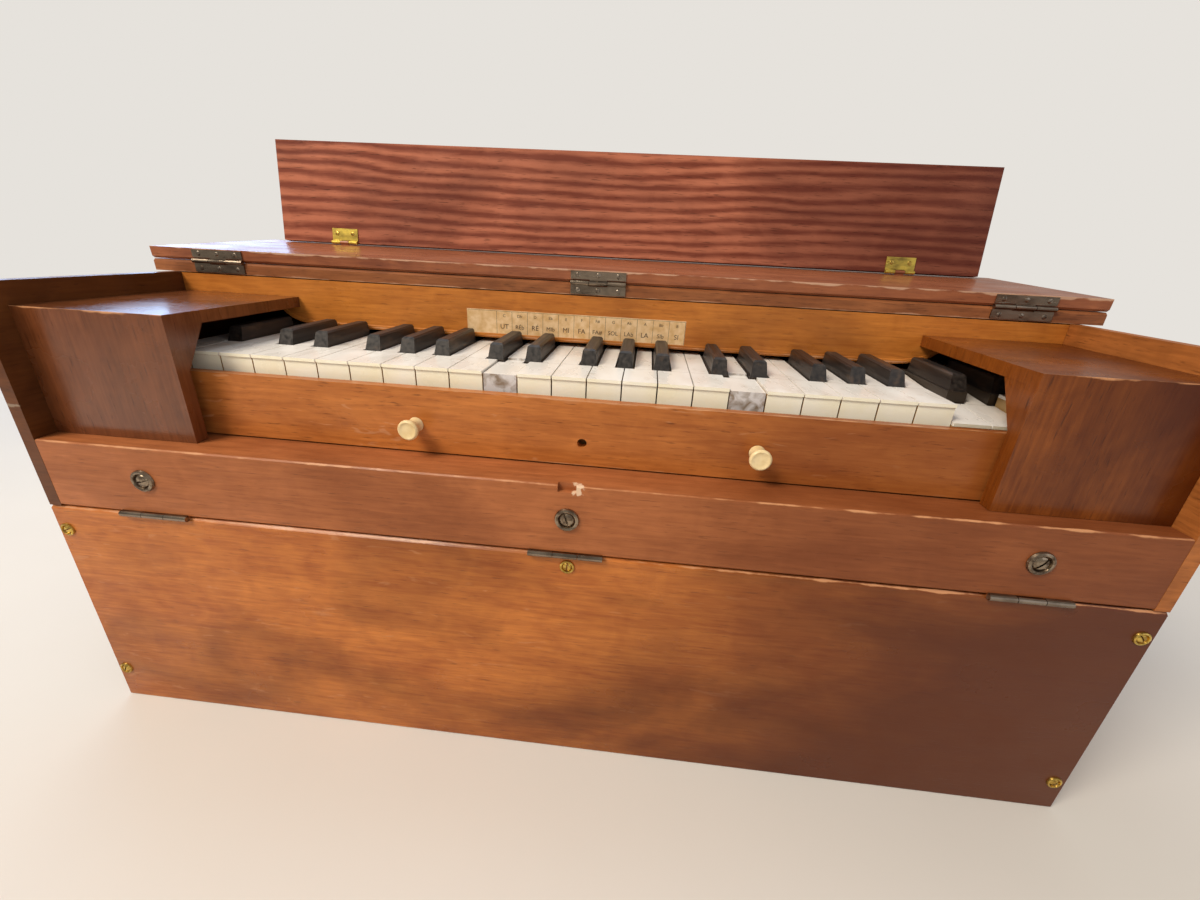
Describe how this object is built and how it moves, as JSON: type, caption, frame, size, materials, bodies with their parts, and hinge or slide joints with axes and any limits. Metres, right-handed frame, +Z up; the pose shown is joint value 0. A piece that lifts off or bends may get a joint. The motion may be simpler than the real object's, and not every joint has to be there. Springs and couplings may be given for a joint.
{
  "type": "portable reed organ",
  "caption": "Table-top reed organ in an oak case: sliding keyboard with hinged keys, lid folded back with a standing flap, hinged front panel and a pumped bellows inside.",
  "frame": {"origin": "middle of the case's footprint, on the surface it stands on", "axes": "+X to the player's right, +Y to the back, +Z up"},
  "size_m": [0.7782, 0.3858, 0.4629],
  "materials": {
    "case_wood": "dark stained oak, worn",
    "rail_wood": "red-brown oak, worn arris",
    "panel_oak": "satin golden oak",
    "left_cheek_wood": "varnished oak",
    "right_cheek_wood": "varnished oak",
    "nameboard_wood": "varnished oak",
    "top_wood": "dull varnish, worn edges",
    "leaf_wood": "dull varnish, worn edges",
    "flap_wood": "raised dry grain",
    "frame_wood": "planed softwood",
    "slip_oak": "satin flecked oak",
    "bone_knob": "turned bone",
    "pan_wood": "planed softwood",
    "bellows_cloth": "rubbered cloth",
    "board_wood": "planed softwood",
    "ivory_key": "worn ivory on limewood",
    "ebony_key": "worn black wood"
  },
  "bodies": {
    "case": {"carcass": "case_wood", "front_rail": "rail_wood", "left_cheek": "left_cheek_wood", "right_cheek": "right_cheek_wood", "nameboard": "nameboard_wood", "rear_top": "top_wood", "reed_pan": "pan_wood", "wind_bellows": "bellows_cloth"},
    "panel": {"front_panel": "panel_oak"},
    "lid": {"lid_leaf": "leaf_wood"},
    "flap": {"lid_flap": "flap_wood"},
    "carriage": {"key_carriage": "frame_wood", "key_slip": "slip_oak", "left_slip_knob": "bone_knob", "right_slip_knob": "bone_knob"},
    "pump": {"bellows_board": "board_wood"},
    "key_a2_body": {"key_a2": "ivory_key"},
    "key_a2_sharp_body": {"key_a2_sharp": "ebony_key"},
    "key_b2_body": {"key_b2": "ivory_key"},
    "key_c3_body": {"key_c3": "ivory_key"},
    "key_c3_sharp_body": {"key_c3_sharp": "ebony_key"},
    "key_d3_body": {"key_d3": "ivory_key"},
    "key_d3_sharp_body": {"key_d3_sharp": "ebony_key"},
    "key_e3_body": {"key_e3": "ivory_key"},
    "key_f3_body": {"key_f3": "ivory_key"},
    "key_f3_sharp_body": {"key_f3_sharp": "ebony_key"},
    "key_g3_body": {"key_g3": "ivory_key"},
    "key_g3_sharp_body": {"key_g3_sharp": "ebony_key"},
    "key_a3_body": {"key_a3": "ivory_key"},
    "key_a3_sharp_body": {"key_a3_sharp": "ebony_key"},
    "key_b3_body": {"key_b3": "ivory_key"},
    "key_c4_body": {"key_c4": "ivory_key"},
    "key_c4_sharp_body": {"key_c4_sharp": "ebony_key"},
    "key_d4_body": {"key_d4": "ivory_key"},
    "key_d4_sharp_body": {"key_d4_sharp": "ebony_key"},
    "key_e4_body": {"key_e4": "ivory_key"},
    "key_f4_body": {"key_f4": "ivory_key"},
    "key_f4_sharp_body": {"key_f4_sharp": "ebony_key"},
    "key_g4_body": {"key_g4": "ivory_key"},
    "key_g4_sharp_body": {"key_g4_sharp": "ebony_key"},
    "key_a4_body": {"key_a4": "ivory_key"},
    "key_a4_sharp_body": {"key_a4_sharp": "ebony_key"},
    "key_b4_body": {"key_b4": "ivory_key"},
    "key_c5_body": {"key_c5": "ivory_key"},
    "key_c5_sharp_body": {"key_c5_sharp": "ebony_key"},
    "key_d5_body": {"key_d5": "ivory_key"},
    "key_d5_sharp_body": {"key_d5_sharp": "ebony_key"},
    "key_e5_body": {"key_e5": "ivory_key"},
    "key_f5_body": {"key_f5": "ivory_key"},
    "key_f5_sharp_body": {"key_f5_sharp": "ebony_key"},
    "key_g5_body": {"key_g5": "ivory_key"},
    "key_g5_sharp_body": {"key_g5_sharp": "ebony_key"},
    "key_a5_body": {"key_a5": "ivory_key"},
    "key_a5_sharp_body": {"key_a5_sharp": "ebony_key"},
    "key_b5_body": {"key_b5": "ivory_key"},
    "key_c6_body": {"key_c6": "ivory_key"},
    "key_c6_sharp_body": {"key_c6_sharp": "ebony_key"},
    "key_d6_body": {"key_d6": "ivory_key"},
    "key_d6_sharp_body": {"key_d6_sharp": "ebony_key"},
    "key_e6_body": {"key_e6": "ivory_key"}
  },
  "joints": [
    {"name": "lid_hinge", "type": "hinge", "parent": "case", "child": "lid", "pos_m": [0, -0.021, 0.348], "axis": [1, 0, 0], "range_deg": [0, 177.3]},
    {"name": "flap_hinge", "type": "hinge", "parent": "lid", "child": "flap", "pos_m": [0, 0.10917, 0.36645], "axis": [1, 0, 0], "range_deg": [0, 100.1]},
    {"name": "front_panel_hinge", "type": "hinge", "parent": "case", "child": "panel", "pos_m": [0, -0.1666, 0.185], "axis": [-1, 0, 0], "range_deg": [0, 105]},
    {"name": "carriage_slide", "type": "slide", "parent": "case", "child": "carriage", "axis": [1, 0, 0], "range_m": [-0.0548, 0.0411]},
    {"name": "pump_hinge", "type": "hinge", "parent": "case", "child": "pump", "pos_m": [0, -0.115, 0.20614], "axis": [1, 0, 0], "range_deg": [0, 26], "deforming": ["wind_bellows"]},
    {"name": "press_a2", "type": "hinge", "parent": "carriage", "child": "key_a2_body", "pos_m": [-0.29055, 0.01, 0.276], "axis": [1, 0, 0], "range_deg": [0, 3.9], "stiffness_Nm_per_rad": 0.25, "springref_deg": -11.46},
    {"name": "press_a2_sharp", "type": "hinge", "parent": "carriage", "child": "key_a2_sharp_body", "pos_m": [-0.27374, 0.01, 0.276], "axis": [1, 0, 0], "range_deg": [0, 3.9], "stiffness_Nm_per_rad": 0.25, "springref_deg": -11.46},
    {"name": "press_b2", "type": "hinge", "parent": "carriage", "child": "key_b2_body", "pos_m": [-0.26029, 0.01, 0.276], "axis": [1, 0, 0], "range_deg": [0, 3.9], "stiffness_Nm_per_rad": 0.25, "springref_deg": -11.46},
    {"name": "press_c3", "type": "hinge", "parent": "carriage", "child": "key_c3_body", "pos_m": [-0.24657, 0.01, 0.276], "axis": [1, 0, 0], "range_deg": [0, 3.9], "stiffness_Nm_per_rad": 0.25, "springref_deg": -11.46},
    {"name": "press_c3_sharp", "type": "hinge", "parent": "carriage", "child": "key_c3_sharp_body", "pos_m": [-0.23245, 0.01, 0.276], "axis": [1, 0, 0], "range_deg": [0, 3.9], "stiffness_Nm_per_rad": 0.25, "springref_deg": -11.46},
    {"name": "press_d3", "type": "hinge", "parent": "carriage", "child": "key_d3_body", "pos_m": [-0.21835, 0.01, 0.276], "axis": [1, 0, 0], "range_deg": [0, 3.9], "stiffness_Nm_per_rad": 0.25, "springref_deg": -11.46},
    {"name": "press_d3_sharp", "type": "hinge", "parent": "carriage", "child": "key_d3_sharp_body", "pos_m": [-0.20425, 0.01, 0.276], "axis": [1, 0, 0], "range_deg": [0, 3.9], "stiffness_Nm_per_rad": 0.25, "springref_deg": -11.46},
    {"name": "press_e3", "type": "hinge", "parent": "carriage", "child": "key_e3_body", "pos_m": [-0.19012, 0.01, 0.276], "axis": [1, 0, 0], "range_deg": [0, 3.9], "stiffness_Nm_per_rad": 0.25, "springref_deg": -11.46},
    {"name": "press_f3", "type": "hinge", "parent": "carriage", "child": "key_f3_body", "pos_m": [-0.17641, 0.01, 0.276], "axis": [1, 0, 0], "range_deg": [0, 3.9], "stiffness_Nm_per_rad": 0.25, "springref_deg": -11.46},
    {"name": "press_f3_sharp", "type": "hinge", "parent": "carriage", "child": "key_f3_sharp_body", "pos_m": [-0.16296, 0.01, 0.276], "axis": [1, 0, 0], "range_deg": [0, 3.9], "stiffness_Nm_per_rad": 0.25, "springref_deg": -11.46},
    {"name": "press_g3", "type": "hinge", "parent": "carriage", "child": "key_g3_body", "pos_m": [-0.14953, 0.01, 0.276], "axis": [1, 0, 0], "range_deg": [0, 3.9], "stiffness_Nm_per_rad": 0.25, "springref_deg": -11.46},
    {"name": "press_g3_sharp", "type": "hinge", "parent": "carriage", "child": "key_g3_sharp_body", "pos_m": [-0.1361, 0.01, 0.276], "axis": [1, 0, 0], "range_deg": [0, 3.9], "stiffness_Nm_per_rad": 0.25, "springref_deg": -11.46},
    {"name": "press_a3", "type": "hinge", "parent": "carriage", "child": "key_a3_body", "pos_m": [-0.12267, 0.01, 0.276], "axis": [1, 0, 0], "range_deg": [0, 3.9], "stiffness_Nm_per_rad": 0.25, "springref_deg": -11.46},
    {"name": "press_a3_sharp", "type": "hinge", "parent": "carriage", "child": "key_a3_sharp_body", "pos_m": [-0.10924, 0.01, 0.276], "axis": [1, 0, 0], "range_deg": [0, 3.9], "stiffness_Nm_per_rad": 0.25, "springref_deg": -11.46},
    {"name": "press_b3", "type": "hinge", "parent": "carriage", "child": "key_b3_body", "pos_m": [-0.09579, 0.01, 0.276], "axis": [1, 0, 0], "range_deg": [0, 3.9], "stiffness_Nm_per_rad": 0.25, "springref_deg": -11.46},
    {"name": "press_c4", "type": "hinge", "parent": "carriage", "child": "key_c4_body", "pos_m": [-0.08207, 0.01, 0.276], "axis": [1, 0, 0], "range_deg": [0, 3.9], "stiffness_Nm_per_rad": 0.25, "springref_deg": -11.46},
    {"name": "press_c4_sharp", "type": "hinge", "parent": "carriage", "child": "key_c4_sharp_body", "pos_m": [-0.06795, 0.01, 0.276], "axis": [1, 0, 0], "range_deg": [0, 3.9], "stiffness_Nm_per_rad": 0.25, "springref_deg": -11.46},
    {"name": "press_d4", "type": "hinge", "parent": "carriage", "child": "key_d4_body", "pos_m": [-0.05385, 0.01, 0.276], "axis": [1, 0, 0], "range_deg": [0, 3.9], "stiffness_Nm_per_rad": 0.25, "springref_deg": -11.46},
    {"name": "press_d4_sharp", "type": "hinge", "parent": "carriage", "child": "key_d4_sharp_body", "pos_m": [-0.03975, 0.01, 0.276], "axis": [1, 0, 0], "range_deg": [0, 3.9], "stiffness_Nm_per_rad": 0.25, "springref_deg": -11.46},
    {"name": "press_e4", "type": "hinge", "parent": "carriage", "child": "key_e4_body", "pos_m": [-0.02562, 0.01, 0.276], "axis": [1, 0, 0], "range_deg": [0, 3.9], "stiffness_Nm_per_rad": 0.25, "springref_deg": -11.46},
    {"name": "press_f4", "type": "hinge", "parent": "carriage", "child": "key_f4_body", "pos_m": [-0.01191, 0.01, 0.276], "axis": [1, 0, 0], "range_deg": [0, 3.9], "stiffness_Nm_per_rad": 0.25, "springref_deg": -11.46},
    {"name": "press_f4_sharp", "type": "hinge", "parent": "carriage", "child": "key_f4_sharp_body", "pos_m": [0.00154, 0.01, 0.276], "axis": [1, 0, 0], "range_deg": [0, 3.9], "stiffness_Nm_per_rad": 0.25, "springref_deg": -11.46},
    {"name": "press_g4", "type": "hinge", "parent": "carriage", "child": "key_g4_body", "pos_m": [0.01497, 0.01, 0.276], "axis": [1, 0, 0], "range_deg": [0, 3.9], "stiffness_Nm_per_rad": 0.25, "springref_deg": -11.46},
    {"name": "press_g4_sharp", "type": "hinge", "parent": "carriage", "child": "key_g4_sharp_body", "pos_m": [0.0284, 0.01, 0.276], "axis": [1, 0, 0], "range_deg": [0, 3.9], "stiffness_Nm_per_rad": 0.25, "springref_deg": -11.46},
    {"name": "press_a4", "type": "hinge", "parent": "carriage", "child": "key_a4_body", "pos_m": [0.04183, 0.01, 0.276], "axis": [1, 0, 0], "range_deg": [0, 3.9], "stiffness_Nm_per_rad": 0.25, "springref_deg": -11.46},
    {"name": "press_a4_sharp", "type": "hinge", "parent": "carriage", "child": "key_a4_sharp_body", "pos_m": [0.05526, 0.01, 0.276], "axis": [1, 0, 0], "range_deg": [0, 3.9], "stiffness_Nm_per_rad": 0.25, "springref_deg": -11.46},
    {"name": "press_b4", "type": "hinge", "parent": "carriage", "child": "key_b4_body", "pos_m": [0.06871, 0.01, 0.276], "axis": [1, 0, 0], "range_deg": [0, 3.9], "stiffness_Nm_per_rad": 0.25, "springref_deg": -11.46},
    {"name": "press_c5", "type": "hinge", "parent": "carriage", "child": "key_c5_body", "pos_m": [0.08243, 0.01, 0.276], "axis": [1, 0, 0], "range_deg": [0, 3.9], "stiffness_Nm_per_rad": 0.25, "springref_deg": -11.46},
    {"name": "press_c5_sharp", "type": "hinge", "parent": "carriage", "child": "key_c5_sharp_body", "pos_m": [0.09655, 0.01, 0.276], "axis": [1, 0, 0], "range_deg": [0, 3.9], "stiffness_Nm_per_rad": 0.25, "springref_deg": -11.46},
    {"name": "press_d5", "type": "hinge", "parent": "carriage", "child": "key_d5_body", "pos_m": [0.11065, 0.01, 0.276], "axis": [1, 0, 0], "range_deg": [0, 3.9], "stiffness_Nm_per_rad": 0.25, "springref_deg": -11.46},
    {"name": "press_d5_sharp", "type": "hinge", "parent": "carriage", "child": "key_d5_sharp_body", "pos_m": [0.12475, 0.01, 0.276], "axis": [1, 0, 0], "range_deg": [0, 3.9], "stiffness_Nm_per_rad": 0.25, "springref_deg": -11.46},
    {"name": "press_e5", "type": "hinge", "parent": "carriage", "child": "key_e5_body", "pos_m": [0.13888, 0.01, 0.276], "axis": [1, 0, 0], "range_deg": [0, 3.9], "stiffness_Nm_per_rad": 0.25, "springref_deg": -11.46},
    {"name": "press_f5", "type": "hinge", "parent": "carriage", "child": "key_f5_body", "pos_m": [0.15259, 0.01, 0.276], "axis": [1, 0, 0], "range_deg": [0, 3.9], "stiffness_Nm_per_rad": 0.25, "springref_deg": -11.46},
    {"name": "press_f5_sharp", "type": "hinge", "parent": "carriage", "child": "key_f5_sharp_body", "pos_m": [0.16604, 0.01, 0.276], "axis": [1, 0, 0], "range_deg": [0, 3.9], "stiffness_Nm_per_rad": 0.25, "springref_deg": -11.46},
    {"name": "press_g5", "type": "hinge", "parent": "carriage", "child": "key_g5_body", "pos_m": [0.17947, 0.01, 0.276], "axis": [1, 0, 0], "range_deg": [0, 3.9], "stiffness_Nm_per_rad": 0.25, "springref_deg": -11.46},
    {"name": "press_g5_sharp", "type": "hinge", "parent": "carriage", "child": "key_g5_sharp_body", "pos_m": [0.1929, 0.01, 0.276], "axis": [1, 0, 0], "range_deg": [0, 3.9], "stiffness_Nm_per_rad": 0.25, "springref_deg": -11.46},
    {"name": "press_a5", "type": "hinge", "parent": "carriage", "child": "key_a5_body", "pos_m": [0.20633, 0.01, 0.276], "axis": [1, 0, 0], "range_deg": [0, 3.9], "stiffness_Nm_per_rad": 0.25, "springref_deg": -11.46},
    {"name": "press_a5_sharp", "type": "hinge", "parent": "carriage", "child": "key_a5_sharp_body", "pos_m": [0.21976, 0.01, 0.276], "axis": [1, 0, 0], "range_deg": [0, 3.9], "stiffness_Nm_per_rad": 0.25, "springref_deg": -11.46},
    {"name": "press_b5", "type": "hinge", "parent": "carriage", "child": "key_b5_body", "pos_m": [0.23321, 0.01, 0.276], "axis": [1, 0, 0], "range_deg": [0, 3.9], "stiffness_Nm_per_rad": 0.25, "springref_deg": -11.46},
    {"name": "press_c6", "type": "hinge", "parent": "carriage", "child": "key_c6_body", "pos_m": [0.24693, 0.01, 0.276], "axis": [1, 0, 0], "range_deg": [-5, 0]},
    {"name": "press_c6_sharp", "type": "hinge", "parent": "carriage", "child": "key_c6_sharp_body", "pos_m": [0.26105, 0.01, 0.276], "axis": [1, 0, 0], "range_deg": [0, 3.9], "stiffness_Nm_per_rad": 0.25, "springref_deg": -11.46},
    {"name": "press_d6", "type": "hinge", "parent": "carriage", "child": "key_d6_body", "pos_m": [0.27515, 0.01, 0.276], "axis": [1, 0, 0], "range_deg": [-5, 0]},
    {"name": "press_d6_sharp", "type": "hinge", "parent": "carriage", "child": "key_d6_sharp_body", "pos_m": [0.28925, 0.01, 0.276], "axis": [1, 0, 0], "range_deg": [0, 3.9], "stiffness_Nm_per_rad": 0.25, "springref_deg": -11.46},
    {"name": "press_e6", "type": "hinge", "parent": "carriage", "child": "key_e6_body", "pos_m": [0.30338, 0.01, 0.276], "axis": [1, 0, 0], "range_deg": [0, 3.9], "stiffness_Nm_per_rad": 0.25, "springref_deg": -11.46}
  ]
}
